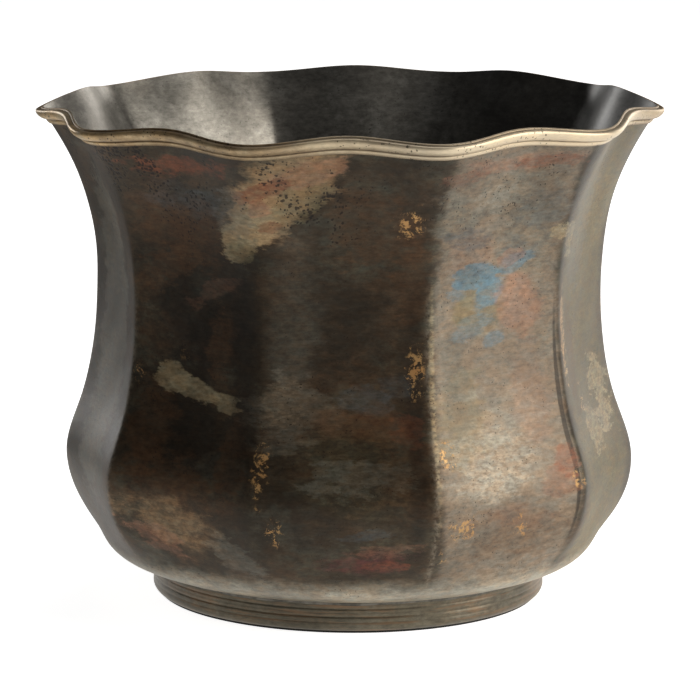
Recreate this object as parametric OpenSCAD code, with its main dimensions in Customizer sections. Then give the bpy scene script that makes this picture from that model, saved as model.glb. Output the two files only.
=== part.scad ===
// Fluted brass planter pot: a waisted ten-sided vessel with a rolled rim, on a spun foot ring.
// Origin at the centre of the underside of the foot, +Z up, all sizes in millimetres.
// Angles run around the pot from the -Y side, where the middle of one flute faces.

/* [Body] */
// Overall height, from the table to the highest point of the rim
height = 245; // [220:1:280]
// Number of flutes around the body
flutes = 10; // [8:1:14]
// Radius of the ridges between flutes at the fullest part of the belly
belly_r = 140; // [132:0.5:148]
// Radius of the ridges at the waist
waist_r = 124; // [118:0.5:128]
// Radius of the ridges at the top of the sheet
mouth_r = 151; // [142:0.5:158]
// Thickness of the brass sheet
sheet = 1.2; // [0.8:0.1:2]
// Depth of the flutes on the body, where 1 makes flat panels
flute_depth = 1.15; // [0.6:0.05:1.3]
// Extra depth of the flutes that the mouth gains over the body
mouth_depth = 0.15; // [0:0.05:0.3]

/* [Rim] */
// Rise and fall of the rim about its mean height, high at the middle of each flute
rim_wave = 1.8; // [0:0.1:4]
// Radius of the rim's upper bead
bead_r = 2.6; // [2.4:0.1:3]
// Height of the plain band under the bead
band_h = 2.2; // [1.6:0.1:3]
// Radius of the wire that the bead is rolled over
wire_r = 1.4; // [1:0.1:1.5]

/* [Foot] */
// Height of the foot, from the table to the bottom of the body
foot_h = 16; // [12:1:24]
// Outer radius of the foot ring
foot_r = 97; // [90:1:100]
// Thickness of the foot ring's metal
foot_wall = 1.6; // [1.2:0.1:2.4]
// Radius of the curve that turns the foot ring under
foot_turn = 3.5; // [3:0.5:6]
// Width of the flange turned in under the foot ring
flange_w = 7; // [6:0.5:10]
// Thickness of the pad under the foot
pad_t = 1; // [0.6:0.1:2]

/* [Hidden] */
$fn = 180;

// Steps around the pot, with one at every ridge
STEPS = 8 * flutes;
// Half the angle that one flute takes
HALF = 180 / flutes;
// The body's bottom edge stands this much outside the foot ring
OVERHANG = 2;
// The lip leans out, so its inner edge stands this part of the sheet's thickness over its outer edge
LIP_RISE = 0.54;
// Height of the top of the sheet's outer skin at the mean of the wave
LIP_Z = height - rim_wave - sheet * LIP_RISE;
// Heights of the profile's turning places, as parts of the way from the foot to the lip
function up(part) = foot_h + part * (LIP_Z - foot_h);
// Where the waist lies, as a part of the way from the foot to the lip
WAIST_AT = 0.62;
// How much wider than the foot the body is once it has turned upwards
TURN_OUT = 29.6;
// Share of the belly's radius a little above the belly, and of the mouth's a little below the mouth
BELLY_SHARE = 0.44;
MOUTH_SHARE = 0.333;
// Profile of the ridges: height, radius, and radius gained for each millimetre of height
PROFILE = [
    [up(0), foot_r + OVERHANG, 4],
    [up(0.08), foot_r + TURN_OUT, 0.85],
    [up(0.23), belly_r, 0],
    [up(0.372), BELLY_SHARE * belly_r + (1 - BELLY_SHARE) * waist_r, -0.3],
    [up(WAIST_AT), waist_r, 0],
    [up(0.85), (1 - MOUTH_SHARE) * waist_r + MOUTH_SHARE * mouth_r, 0.39],
    [up(1), mouth_r, 0.62]
];
// Height by which the flutes have faded in above the foot
FADE_H = 38;
// Height over which the rim's wave dies out downwards
WAVE_H = 60;
// Rows of points up the body wall below the rim, and how far they crowd together towards the foot
ROWS = 20;
CROWD = 1.25;
// Gap between the base disc's edge and the body, and between the solder's edge and the body's
PLATE_GAP = 0.45;
SOLDER_GAP = 0.3;
// Depth of the lines turned into the foot ring, the drop to the first one and their spacing
LINE_DEPTH = 0.35;
LINE_DROP = 3.5;
LINE_GAP = 3.8;
// Height of the rim moulding from the lip down
RIM_H = 2 * bead_r + band_h;
// Bead centre, out from the skin and down from the lip
BEAD_OUT = 1.4;
BEAD_DROP = bead_r + 0.2;
// Bulge of the plain band under the bead
BAND_OUT = 1.2;
// Channel in the moulding that the wire lies in, open towards the sheet, and its centre
CHANNEL_R = wire_r + 0.05;
WIRE_OUT = wire_r + 0.02;
// Rows of points behind the rim moulding, which its own section shares
RIM_ROWS = [RIM_H, BEAD_DROP + CHANNEL_R, BEAD_DROP - CHANNEL_R, 0];

// Smooth step from 0 to 1 as x goes from 0 to 1
function ease(x) = let (t = min(1, max(0, x))) t * t * (3 - 2 * t);

// Cubic curve between two profile rows, and the row that a height follows
function between(a, b, z) =
    let (h = b[0] - a[0], t = (z - a[0]) / h)
    a[1] * (1 + 2 * t) * (1 - t) * (1 - t) + b[1] * t * t * (3 - 2 * t)
        + h * t * (1 - t) * (a[2] * (1 - t) - b[2] * t);
function row_of(z, i = 0) = (i >= len(PROFILE) - 2 || z < PROFILE[i + 1][0]) ? i : row_of(z, i + 1);
function ridge_r(z) = let (i = row_of(z)) between(PROFILE[i], PROFILE[i + 1], z);
function slope(z) = (ridge_r(z + 0.05) - ridge_r(z - 0.05)) / 0.1;

// How deep the flutes are at a height: none at the foot, flat panels on the body, hollow at the mouth
function depth(z) =
    flute_depth * ease((z - foot_h) / FADE_H)
        + mouth_depth * ease((z - up(WAIST_AT)) / (up(1) - up(WAIST_AT)));
// Angle from the middle of the nearest flute
function off_middle(a) = a - 2 * HALF * round(a / (2 * HALF));
// A flat panel between two ridges lies inside the circle by this part of the radius
function hollow(a) = 1 - cos(HALF) / cos(off_middle(a));
// Rise of the wave at an angle and a height
function wave(a, z) = rim_wave * cos(flutes * a) * pow(max(0, 1 - (LIP_Z - z) / WAVE_H), 2);

// Point on the body's outer skin, pushed in by a depth square to the profile
function skin(a, z, inside) =
    let (
        m = slope(z),
        run = sqrt(1 + m * m),
        r = ridge_r(z) * (1 - depth(z) * hollow(a)) - inside / run
    )
    [r * sin(a), -r * cos(a), z + wave(a, z) + inside * m / run];

// Heights of the rows of points, from the foot to the lip
function row_z(i) =
    i < ROWS
        ? foot_h + (LIP_Z - RIM_ROWS[0] - foot_h) * pow(i / ROWS, CROWD)
        : LIP_Z - RIM_ROWS[i - ROWS];

// Triangles of a closed strip of rings, each with the same count of points, joined last to first
function loop_faces(rings, count) = [
    for (i = [0 : rings - 1], j = [0 : count - 1])
        let (
            a = i * count + j,
            b = i * count + (j + 1) % count,
            c = ((i + 1) % rings) * count + j,
            d = ((i + 1) % rings) * count + (j + 1) % count
        )
        each [[a, c, b], [b, c, d]]
];

// Closed solid swept around the pot: sections lists the same count of points at every step
module around(sections) {
    count = len(sections[0]);
    polyhedron(
        points = [for (s = sections) each s],
        faces = loop_faces(len(sections), count)
    );
}

// Point of the rim's section: out from the outer skin at a drop below the lip
function rim_point(a, out, drop) =
    let (
        base = skin(a, LIP_Z - drop, 0),
        r = norm([base[0], base[1]]) + out
    )
    [r * sin(a), -r * cos(a), base[2]];

// Outline of the moulding as outward and downward distances: bead, band, then the side on the sheet
BEAD = [for (t = [80 : -28 : -60]) [BEAD_OUT + bead_r * cos(t), BEAD_DROP - bead_r * sin(t)]];
BAND = [for (t = [60 : -40 : -60]) [BAND_OUT * cos(t), RIM_H - band_h / 2 * (1 + sin(t))]];
CHANNEL = [for (t = [-90 : 45 : 90]) [WIRE_OUT + CHANNEL_R * cos(t), BEAD_DROP - CHANNEL_R * sin(t)]];
RIM_SECTION = concat(BEAD, BAND, [[0, RIM_H], [0, RIM_ROWS[1]]], CHANNEL, [[0, RIM_ROWS[2]], [0, 0]]);

module body_wall() {
    heights = [for (i = [0 : ROWS + len(RIM_ROWS) - 1]) row_z(i)];
    rows = len(heights);
    color([0.30, 0.26, 0.21])
        around([
            for (k = [0 : STEPS - 1])
                let (a = k * 360 / STEPS)
                concat(
                    [for (i = [0 : rows - 1]) skin(a, heights[i], 0)],
                    [for (i = [rows - 1 : -1 : 0]) skin(a, heights[i], sheet)]
                )
        ]);
}

module rim_band() {
    color([0.56, 0.48, 0.34])
        around([
            for (k = [0 : STEPS - 1])
                let (a = k * 360 / STEPS)
                [for (p = RIM_SECTION) rim_point(a, p[0], p[1])]
        ]);
}

module rim_wire() {
    color([0.45, 0.44, 0.42])
        around([
            for (k = [0 : STEPS - 1])
                let (a = k * 360 / STEPS)
                [
                    for (t = [180 : -45 : -135])
                        rim_point(a, WIRE_OUT + wire_r * cos(t), BEAD_DROP - wire_r * sin(t))
                ]
        ]);
}

module base_disc() {
    color([0.34, 0.31, 0.26])
        translate([0, 0, foot_h])
            cylinder(h = sheet, r = foot_r + OVERHANG - PLATE_GAP);
}

module foot_solder() {
    fillet = OVERHANG - SOLDER_GAP;
    color([0.42, 0.40, 0.35])
        rotate_extrude()
            polygon(concat(
                [[foot_r, foot_h]],
                [for (t = [90 : 15 : 180]) [foot_r + fillet, foot_h - fillet] + fillet * [cos(t), sin(t)]]
            ));
}

// Outline of the foot ring's metal, pushed in by a depth: straight side, turned under at the bottom
function foot_outline(inside) = concat(
    [[foot_r - inside, foot_h]],
    [
        for (t = [0 : -15 : -90])
            [
                foot_r - foot_turn + (foot_turn - inside) * cos(t),
                pad_t + foot_turn + (foot_turn - inside) * sin(t)
            ]
    ],
    [[foot_r - foot_turn - flange_w, pad_t + inside]]
);

module foot_ring() {
    outer = foot_outline(0);
    inner = foot_outline(foot_wall);
    color([0.33, 0.31, 0.27])
        difference() {
            rotate_extrude()
                polygon(concat(outer, [for (i = [len(inner) - 1 : -1 : 0]) inner[i]]));
            for (line = [0 : 1])
                translate([0, 0, foot_h - LINE_DROP - LINE_GAP * line])
                    rotate_extrude()
                        translate([foot_r + LINE_DEPTH, 0])
                            circle(r = 2 * LINE_DEPTH, $fn = 24);
        }
}

module foot_pad() {
    edge_gap = 0.5;
    color([0.05, 0.05, 0.05])
        difference() {
            cylinder(h = pad_t, r = foot_r - foot_turn + edge_gap);
            translate([0, 0, -1])
                cylinder(h = pad_t + 2, r = foot_r - foot_turn - flange_w + edge_gap);
        }
}

body_wall();
rim_band();
rim_wire();
base_disc();
foot_solder();
foot_ring();
foot_pad();
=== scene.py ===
import bpy
import math
import numpy as np
from mathutils import Euler, Matrix, Vector


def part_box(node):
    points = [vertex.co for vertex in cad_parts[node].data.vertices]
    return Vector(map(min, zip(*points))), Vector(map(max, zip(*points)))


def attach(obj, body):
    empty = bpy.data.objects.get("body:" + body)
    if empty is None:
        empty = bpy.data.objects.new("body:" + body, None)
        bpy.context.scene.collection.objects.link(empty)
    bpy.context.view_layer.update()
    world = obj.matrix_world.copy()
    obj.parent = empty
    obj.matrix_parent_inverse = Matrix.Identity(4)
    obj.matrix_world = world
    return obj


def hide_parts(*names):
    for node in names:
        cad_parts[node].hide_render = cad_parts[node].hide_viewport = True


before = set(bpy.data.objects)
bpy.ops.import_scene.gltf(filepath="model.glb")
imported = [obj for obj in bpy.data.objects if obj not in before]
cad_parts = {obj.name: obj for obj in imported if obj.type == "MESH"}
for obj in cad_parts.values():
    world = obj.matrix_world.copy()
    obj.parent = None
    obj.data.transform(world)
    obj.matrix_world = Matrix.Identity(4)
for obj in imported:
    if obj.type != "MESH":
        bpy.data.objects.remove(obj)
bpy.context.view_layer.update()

# ---------------------------------------------------------------- sizes, in metres, from the frame

MM = 0.001
FLUTES = 10
HALF_FLUTE = math.pi / FLUTES
SHEET = 1.2 * MM
RING_LOW, RING_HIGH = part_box("foot_ring")
PAD_LOW, PAD_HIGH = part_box("foot_pad")
FOOT_TOP = RING_HIGH.z
FOOT_R = RING_HIGH.x
RIM_WAVE = 1.8 * MM
# The lip leans out, so its inner edge stands this part of the sheet's thickness over its outer edge
LIP_RISE = 0.54
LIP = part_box("body_wall")[1].z - RIM_WAVE - LIP_RISE * SHEET
BELLY_R = 140.2 * MM
WAIST_R = 124 * MM
MOUTH_R = 151 * MM
FLUTE_DEPTH = 1.15
MOUTH_DEPTH = 0.15
FADE_HEIGHT = 38 * MM
WAVE_HEIGHT = 60 * MM
# The pot is beaten by hand: its mouth leans and tips by this much against the foot
LEAN = -1.3 * MM
TIP = 0.0116
# Its wall wavers by this much, and its ridges drift by this angle, fading in over these heights
WAVER = 0.16 * MM
WAVER_FADE = 30 * MM
DRIFT = np.radians(0.32)
DRIFT_FADE = 40 * MM

# The body stands this much outside the foot, and this much more once it has turned upwards
OVERHANG = 2 * MM
TURN_OUT = 29.6 * MM
# Share of the belly's radius a little above the belly, and of the mouth's a little below the mouth
BELLY_SHARE = 0.44
MOUTH_SHARE = 0.333
# Height as a part of the way from the foot to the lip, ridge radius, and slope of the ridge line
PROFILE = np.array([
    [0.0, FOOT_R + OVERHANG, 4],
    [0.08, FOOT_R + TURN_OUT, 0.85],
    [0.23, BELLY_R, 0],
    [0.372, BELLY_SHARE * BELLY_R + (1 - BELLY_SHARE) * WAIST_R, -0.3],
    [0.62, WAIST_R, 0],
    [0.85, (1 - MOUTH_SHARE) * WAIST_R + MOUTH_SHARE * MOUTH_R, 0.39],
    [1.0, MOUTH_R, 0.62],
])
PROFILE[:, 0] = FOOT_TOP + PROFILE[:, 0] * (LIP - FOOT_TOP)
BELLY_Z = PROFILE[2, 0]
WAIST_Z = PROFILE[4, 0]

# Ridges are rounded over this angle, and over this much more towards the foot
RIDGE_SOFT = np.radians(0.9)
RIDGE_SOFTER = np.radians(1.4)
# Flat panels are deepened by this factor, and give way to waves by this part at the mouth
PANEL_GAIN = 1.04
MOUTH_WAVY = 0.8

# Rim moulding, as outward and downward distances from the lip
RIM_HEIGHT = 7.4 * MM
BEAD_R = 2.6 * MM
BEAD_OUT = 1.4 * MM
BEAD_DROP = 2.8 * MM
GROOVE_OUT = 1.25 * MM
GROOVE_DROP = 5.3 * MM
BAND_HEIGHT = 2.2 * MM
BAND_OUT = 1.2 * MM
WIRE_R = 1.35 * MM
WIRE_OUT = 1.42 * MM
CHANNEL_R = 1.45 * MM

# Foot ring: curve under, thickness, width of the flange, and turned lines (height, depth, half width)
FOOT_TURN = 3.5 * MM
FOOT_WALL = 1.6 * MM
FLANGE = 7 * MM
FOOT_LINES = ((12.4, 0.24, 0.6), (8.6, 0.26, 0.6), (10.6, 0.08, 0.8), (5.9, 0.12, 0.6))
# Depth of the spun rings in the bottom plate, size of the run of solder, and the pad's soft edge
PLATE_DIP = 0.12 * MM
SOLDER_SIZE = 1.7 * MM
PAD_EDGE = 0.35 * MM

# How dirty the bare edge of the sheet is, from 0 to 1
LIP_DIRT = 0.55
# How bright each ridge is rubbed, partly real wear and partly a painted highlight, from the one at 18
# degrees right of the -Y side, going round
RIDGE_WEAR_AND_HIGHLIGHT = (0.7, 0.0, 0.15, 0.3, 0.15, 0.25, 0.3, 0.15, 0.45, 0.05)
# Half width of the rubbed line with its painted highlight, the height where it ends, and the height over
# which it fades to that
RIDGE_LINE_WIDTH = np.radians(0.65)
RIDGE_LINE_TOP = 180 * MM
RIDGE_LINE_FADE = 30 * MM

# Counts of points around the pot and along the sections, and how the rows crowd towards the foot
AROUND = 500
OUTER_ROWS = 96
INNER_ROWS = 66
EDGE_ROWS = 5
OUTER_CROWD = 1.25
INNER_CROWD = 1.2
# How strongly the points around the pot crowd towards the ridges
RIDGE_CROWD = 0.55


# ---------------------------------------------------------------- shape of the pot

def ease(x):
    """Smooth step: 3t^2 - 2t^3 with t held between 0 and 1."""
    t = np.clip(x, 0, 1)
    return t * t * (3 - 2 * t)


def ridge_radius(z):
    """Radius of the ridges at height z: a cubic through each pair of profile rows with their slopes."""
    i = np.clip(np.searchsorted(PROFILE[:, 0], z, side="right") - 1, 0, len(PROFILE) - 2)
    z0, r0, m0 = np.moveaxis(PROFILE[i], -1, 0)
    z1, r1, m1 = np.moveaxis(PROFILE[i + 1], -1, 0)
    h = z1 - z0
    t = (z - z0) / h
    return (r0 * (1 + 2 * t) * (1 - t) ** 2 + r1 * t * t * (3 - 2 * t)
            + h * t * (1 - t) * (m0 * (1 - t) - m1 * t))


def ridge_slope(z):
    """Slope of the ridge line, by a central difference over a tenth of a millimetre."""
    step = 0.05 * MM
    return (ridge_radius(z + step) - ridge_radius(z - step)) / (2 * step)


def off_middle(a):
    """Angle from the middle of the nearest flute."""
    return a - 2 * HALF_FLUTE * np.round(a / (2 * HALF_FLUTE))


def hollow(a, z):
    """How far a panel lies inside the ridge circle, as a part of the radius: a flat panel between
    softened ridges, turning into a plain cosine wave towards the mouth, and 0 on the ridges."""
    soft = RIDGE_SOFT + RIDGE_SOFTER * ease((BELLY_Z - z) / (BELLY_Z - FOOT_TOP))
    reach = HALF_FLUTE - np.abs(off_middle(a))
    soft_reach = np.sqrt(reach ** 2 + soft ** 2)
    panel = math.cos(HALF_FLUTE) / np.cos(HALF_FLUTE - soft)
    panel = panel - math.cos(HALF_FLUTE) / np.cos(HALF_FLUTE - soft_reach)
    panel = np.maximum(panel + 0 * a, 0)
    full = 1 - math.cos(HALF_FLUTE)
    wavy = full * 0.5 * (1 + np.cos(FLUTES * a))
    mix = MOUTH_WAVY * ease((z - WAIST_Z) / (LIP - WAIST_Z))
    return (1 - mix) * panel * PANEL_GAIN + mix * wavy


def flute_depth(z):
    """Depth of the flutes: fades in above the foot and gains a little at the mouth."""
    return (FLUTE_DEPTH * ease((z - FOOT_TOP) / FADE_HEIGHT)
            + MOUTH_DEPTH * ease((z - WAIST_Z) / (LIP - WAIST_Z)))


def beaten(a, z):
    """Unevenness of hand work: four slow sine waves around and up the wall, under half a millimetre."""
    calm = ease((z - FOOT_TOP) / WAVER_FADE)
    return WAVER * calm * (
        np.sin(3 * a + 40 * z + 1.1) + 0.8 * np.sin(7 * a - 63 * z + 0.4)
        + 0.6 * np.sin(13 * a + 95 * z + 2.3) + 0.4 * np.sin(23 * a - 150 * z + 4.0))


def place(a, r, z):
    """Point at angle a from the -Y side, radius r and height z, with the mouth's lean and tip."""
    rise = np.clip((z - FOOT_TOP) / (LIP - FOOT_TOP), 0, 1.2)
    x = r * np.sin(a)
    return np.stack([x + LEAN * rise, -r * np.cos(a) + 0 * z, z + TIP * x * rise ** 3], axis=-1)


def wave(a, z):
    """Rise of the rim's wave, which dies out downwards with the square of the distance."""
    return RIM_WAVE * np.cos(FLUTES * a) * np.clip(1 - (LIP - z) / WAVE_HEIGHT, 0, None) ** 2


def wander(a, z):
    """The ridges don't run dead true: each drifts by up to a third of a degree on its way up."""
    return a + DRIFT * np.sin(17 * z + 3 * a + 0.6) * ease((z - FOOT_TOP) / DRIFT_FADE)


def skin(a, z, inside=0.0):
    """Body wall at angle a and height z, pushed in square to the profile by a depth."""
    m = ridge_slope(z)
    run = np.sqrt(1 + m * m)
    turned = wander(a, z)
    r = ridge_radius(z) * (1 - flute_depth(z) * hollow(turned, z)) + beaten(a, z) - inside / run
    return a, r, z + wave(turned, z) + inside * m / run


def angles():
    """Angles around the pot, drawn together near every ridge by a sine."""
    t = np.arange(AROUND) * FLUTES / AROUND
    near = t - RIDGE_CROWD * np.sin(2 * math.pi * t) / (2 * math.pi)
    return ((near + 0.5) * 2 * HALF_FLUTE)[:, None]


# ---------------------------------------------------------------- making meshes

def mesh_piece(name, points, faces):
    """Smooth object with these points and faces at the origin."""
    mesh = bpy.data.meshes.new(name)
    mesh.from_pydata(points, [], faces)
    mesh.validate()
    mesh.update()
    mesh.polygons.foreach_set("use_smooth", np.full(len(mesh.polygons), True))
    piece = bpy.data.objects.new(name, mesh)
    bpy.context.scene.collection.objects.link(piece)
    return piece


def ring_piece(name, grid):
    """Closed solid from a grid of points that is closed both around the pot and along its section."""
    around, along = grid.shape[:2]
    i, j = np.meshgrid(np.arange(around), np.arange(along), indexing="ij")
    here = i * along + j
    up = i * along + (j + 1) % along
    on = ((i + 1) % around) * along + j
    both = ((i + 1) % around) * along + (j + 1) % along
    faces = np.stack([here, on, both, up], axis=-1).reshape(-1, 4)
    return mesh_piece(name, grid.reshape(-1, 3), faces.tolist())


def keep_value(piece, name, values):
    """Stores one number for each point of a piece under a name, for its material."""
    layer = piece.data.attributes.new(name, "FLOAT", "POINT")
    layer.data.foreach_set("value", np.ascontiguousarray(values, dtype=np.float32).ravel())


def finish_piece(piece, node, slot, *materials):
    """Rides on the pot, stands for its node, and takes its finish."""
    for material in materials:
        piece.data.materials.append(material)
    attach(piece, "root")
    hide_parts(node)


def full_circle(count):
    """Even angles around the pot, as a column."""
    return (np.arange(count) * 2 * math.pi / count)[:, None]


def carried(a, r, z):
    """Points at angles from the -Y side, at these radii and heights."""
    return np.stack([r * np.sin(a), -r * np.cos(a), z + 0 * a], axis=-1)


def turned_piece(name, outline, around):
    """Round piece: a closed outline of radius and height carried around the axis."""
    outline = np.asarray(outline)
    return ring_piece(name, carried(full_circle(around), outline[None, :, 0], outline[None, :, 1]))


def arc(cx, cz, r, start, end, count):
    """Points on an arc about a centre, from one angle to another in degrees."""
    t = np.radians(np.linspace(start, end, count))
    return np.stack([cx + r * np.cos(t), cz + r * np.sin(t)], axis=-1)


# ---------------------------------------------------------------- pieces

def make_body():
    """Fluted wall: outer skin upwards, over the rounded lip, down the inner skin to the foot."""
    a = angles()
    outer_z = FOOT_TOP + (LIP - FOOT_TOP) * np.linspace(0, 1, OUTER_ROWS) ** OUTER_CROWD
    inner_z = FOOT_TOP + (LIP - FOOT_TOP) * np.linspace(1, 0, INNER_ROWS) ** INNER_CROWD
    edge_z = LIP * np.ones(EDGE_ROWS)
    turn = np.linspace(0, math.pi, EDGE_ROWS + 2)[1:-1]
    ones = np.ones_like(a)
    outer = place(*skin(a, outer_z[None, :] * ones))
    inner = place(*skin(a, inner_z[None, :] * ones, SHEET))
    depth = 0.5 * SHEET * (1 - np.cos(turn))
    lip_a, lip_r, lip_z = skin(a, edge_z[None, :] * ones, depth[None, :])
    lip = place(lip_a, lip_r, lip_z + 0.3 * SHEET * np.sin(turn)[None, :])
    piece = ring_piece("body_shell", np.concatenate([outer, lip, inner], axis=1))
    rows_z = np.concatenate([outer_z, edge_z, inner_z])
    reach = HALF_FLUTE - np.abs(off_middle(a))
    # Rubbed ridge lines, partly wear and partly a painted highlight, stored for the wall's material
    wear_and_highlight = np.array(RIDGE_WEAR_AND_HIGHLIGHT)[np.round((a - HALF_FLUTE) / (2 * HALF_FLUTE)).astype(int) % FLUTES]
    low = ease((RIDGE_LINE_TOP - rows_z) / RIDGE_LINE_FADE)
    keep_value(piece, "ridge", wear_and_highlight * np.exp(-(reach / RIDGE_LINE_WIDTH) ** 2) * low[None, :])
    keep_value(piece, "groove", np.full((AROUND, len(rows_z)), LIP_DIRT))
    return piece


def choose_materials(piece):
    """The wall's finish outside, the rim's on the lip and just below it, and the inside's beyond."""
    row = np.arange(len(piece.data.polygons)) % (OUTER_ROWS + EDGE_ROWS + INNER_ROWS)
    index = np.where(row < OUTER_ROWS - 1, 0, np.where(row < OUTER_ROWS + EDGE_ROWS, 2, 1))
    piece.data.polygons.foreach_set("material_index", index.astype(np.int32))


def rim_grid(section):
    """Rim section carried around the lip: outward and downward distances from the outer skin."""
    a = angles()
    _, r, z = skin(a, LIP - section[None, :, 1] + 0 * a)
    return place(a, r + section[None, :, 0], z)


def bell(x, middle, width):
    """Bell curve of height 1 about a middle."""
    return np.exp(-((x - middle) / width) ** 2)


def make_rim():
    """Rim moulding: half-round bead, groove, plain band with a fine edge, and the side on the sheet,
    with the round channel that holds the wire."""
    section = np.concatenate([
        arc(BEAD_OUT, -BEAD_DROP, BEAD_R, 96, -58, 22),
        [[GROOVE_OUT, -GROOVE_DROP]],
        arc(0.1 * MM, -(RIM_HEIGHT - BAND_HEIGHT / 2), BAND_OUT, 62, -50, 12),
        arc(0.55 * MM, -(RIM_HEIGHT - 0.3 * MM), 0.55 * MM, 30, -90, 6),
        [[0, -RIM_HEIGHT], [0, -BEAD_DROP - CHANNEL_R]],
        arc(WIRE_OUT, -BEAD_DROP, CHANNEL_R, -90, 90, 11),
        [[0, -BEAD_DROP + CHANNEL_R], [0, -0.1 * MM]],
    ])
    section[:, 1] *= -1
    section = section[::-1]
    piece = ring_piece("rim_moulding", rim_grid(section))
    drop = section[:, 1]
    # Darker in the groove, and along both edges of the band
    groove = bell(drop, 5.25 * MM, 0.45 * MM)
    edge_dirt = 0.8 * bell(drop, RIM_HEIGHT, 0.35 * MM)
    top_dirt = 0.6 * bell(drop, 0.1 * MM, 0.3 * MM)
    value = np.maximum(np.maximum(groove, edge_dirt), top_dirt)
    keep_value(piece, "groove", np.repeat(value[None, :], AROUND, axis=0))
    return piece


def make_wire():
    """Wire inside the bead, round in section."""
    return ring_piece("stiffening_wire", rim_grid(arc(WIRE_OUT, BEAD_DROP, WIRE_R, 330, 0, 12)))


def make_base():
    """Bottom plate: flat, with four faint spun rings on its upper face, as a cosine that fades out
    over the last 8 mm to the edge."""
    low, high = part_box("base_disc")
    r = np.linspace(high.x, 1 * MM, 120)
    top = high.z - PLATE_DIP * (1 - np.cos(r / high.x * 9 * math.pi)) * ease((high.x - r) / (8 * MM))
    upper = np.stack([r, top], axis=-1)
    under = np.stack([r[::-4], np.full(len(r[::-4]), low.z)], axis=-1)
    piece = turned_piece("bottom_plate", np.concatenate([under, upper]), 240)
    cap_holes(piece)
    return piece


def cap_holes(piece):
    """Closes the pin hole that a turned outline leaves on the axis, by joining its ring to the axis."""
    mesh = piece.data
    co = np.zeros(len(mesh.vertices) * 3)
    mesh.vertices.foreach_get("co", co)
    co = co.reshape(-1, 3)
    near = np.hypot(co[:, 0], co[:, 1]) < 1.2 * MM
    co[near, :2] = 0
    mesh.vertices.foreach_set("co", co.ravel())
    merge = piece.modifiers.new("close_axis", "WELD")
    merge.merge_threshold = 0.01 * MM


def make_foot():
    """Foot ring: upright side with turned lines, each a bell curve, rolled under into a flange."""
    bottom = PAD_HIGH.z
    side_z = np.linspace(FOOT_TOP, bottom + FOOT_TURN, 70)
    lines = sum(depth * MM * bell(side_z, height * MM, width * MM) for height, depth, width in FOOT_LINES)
    centre = FOOT_R - FOOT_TURN
    reach = abs(RING_LOW.x) - FOOT_TURN - FLANGE
    outline = np.concatenate([
        np.stack([FOOT_R - lines, side_z], axis=-1),
        arc(centre, bottom + FOOT_TURN, FOOT_TURN, 0, -90, 14)[1:],
        [[reach + 0.3 * MM, bottom], [reach, bottom + 0.4 * MM], [reach, bottom + FOOT_WALL]],
        arc(centre, bottom + FOOT_TURN, FOOT_TURN - FOOT_WALL, -90, 0, 10),
        [[FOOT_R - FOOT_WALL, FOOT_TOP]],
    ])
    return turned_piece("foot_hoop", outline[::-1], 480)


def make_solder():
    """Run of solder in the corner under the body: a hollow fillet that swells and thins round the pot,
    as a quarter circle whose radius follows two sines, closed by a line just inside the corner."""
    a = full_circle(360)
    t = np.radians(np.linspace(90, 180, 9))[None, :]
    size = SOLDER_SIZE * (1 + 0.12 * np.sin(11 * a + 1) + 0.08 * np.sin(29 * a))
    r = np.concatenate([FOOT_R - 0.2 * MM + 0 * a, FOOT_R + size + size * np.cos(t)], axis=1)
    z = np.concatenate([FOOT_TOP + 0.1 * MM + 0 * a, FOOT_TOP - size + size * np.sin(t)], axis=1)
    return ring_piece("solder_run", carried(a, r, z)[:, ::-1])


def make_pad():
    """Pad ring: flat, with soft edges."""
    outer = PAD_HIGH.x - PAD_EDGE
    inner = PAD_HIGH.x - FLANGE + PAD_EDGE
    low = PAD_LOW.z + PAD_EDGE
    high = PAD_HIGH.z - PAD_EDGE
    corners = ((outer, high, 90), (outer, low, 0), (inner, low, -90), (inner, high, 180))
    outline = np.concatenate([arc(r, z, PAD_EDGE, start, start - 90, 4) for r, z, start in corners])
    return turned_piece("pad_ring", outline[::-1], 360)


# ---------------------------------------------------------------- node helpers

def link_value(tree, value, socket):
    """Puts a number, a colour or another node's output into a socket."""
    if hasattr(value, "is_output"):
        tree.links.new(value, socket)
        return
    if isinstance(value, tuple) and len(value) == 3 and socket.type == "RGBA":
        value = (*value, 1.0)
    socket.default_value = value


def math_node(tree, operation, a, b=None, clamp=False):
    """Math node, returning its output."""
    node = tree.nodes.new("ShaderNodeMath")
    node.operation = operation
    node.use_clamp = clamp
    link_value(tree, a, node.inputs[0])
    if b is not None:
        link_value(tree, b, node.inputs[1])
    return node.outputs[0]


def times(tree, a, b, clamp=False):
    """Product of two values."""
    return math_node(tree, "MULTIPLY", a, b, clamp)


def plus(tree, a, b):
    """Sum of two values."""
    return math_node(tree, "ADD", a, b)


def scaled(tree, value, share, start):
    """Value times a share, plus a start."""
    return plus(tree, times(tree, value, share), start)


def flip(tree, value):
    """One less a value."""
    return math_node(tree, "SUBTRACT", 1.0, value)


def vector_node(tree, operation, *given):
    """Vector math node, returning its vector, or its number when it measures a length."""
    node = tree.nodes.new("ShaderNodeVectorMath")
    node.operation = operation
    for value, socket in zip(given, node.inputs):
        link_value(tree, value, socket)
    return node.outputs["Value" if operation == "LENGTH" else "Vector"]


def part_of(tree, vector, axis):
    """A vector's X, Y or Z."""
    node = tree.nodes.new("ShaderNodeSeparateXYZ")
    tree.links.new(vector, node.inputs[0])
    return node.outputs[axis]


def stored(tree, name):
    """Number that the piece stores under a name."""
    node = tree.nodes.new("ShaderNodeAttribute")
    node.attribute_name = name
    return node.outputs["Fac"]


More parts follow.
